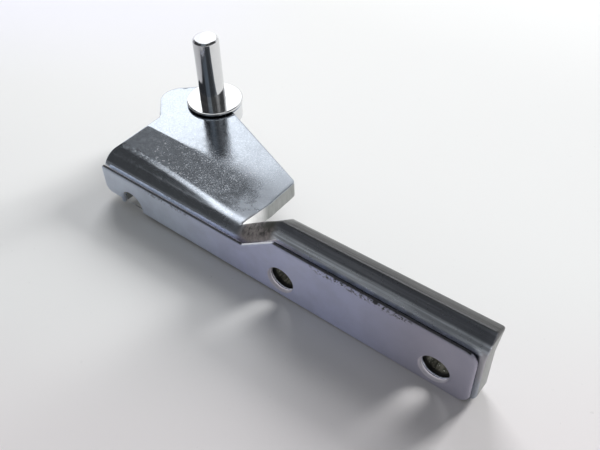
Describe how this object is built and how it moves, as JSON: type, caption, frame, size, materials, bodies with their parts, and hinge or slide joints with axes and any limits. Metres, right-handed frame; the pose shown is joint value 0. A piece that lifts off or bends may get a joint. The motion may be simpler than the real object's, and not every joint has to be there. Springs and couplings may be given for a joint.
{
  "type": "fridge door hinge",
  "caption": "Folded steel hinge bracket for a small fridge door, with a drilled flange, a stiffening rib, a facing plate and an upright pin with a washer.",
  "frame": {"origin": "midway between the two screw holes, on the front of the facing plate, which goes against the cabinet", "axes": "+X along the flange away from the pin, +Y back from the mounting face, +Z along the pin's free end"},
  "size_m": [0.1028, 0.0394, 0.0347],
  "materials": {
    "zinc_plated_sheet": "zinc plated sheet, semi-gloss, with fine rolling marks and light speckled wear",
    "facing_sheet": "thin lavender-grey coated sheet, satin",
    "plated_pin": "bright plated turned steel",
    "plated_washer": "bright plated steel"
  },
  "bodies": {
    "root": {"hinge_bracket": "zinc_plated_sheet", "facing_plate": "facing_sheet", "hinge_pin": "plated_pin", "pin_washer": "plated_washer"}
  },
  "joints": []
}
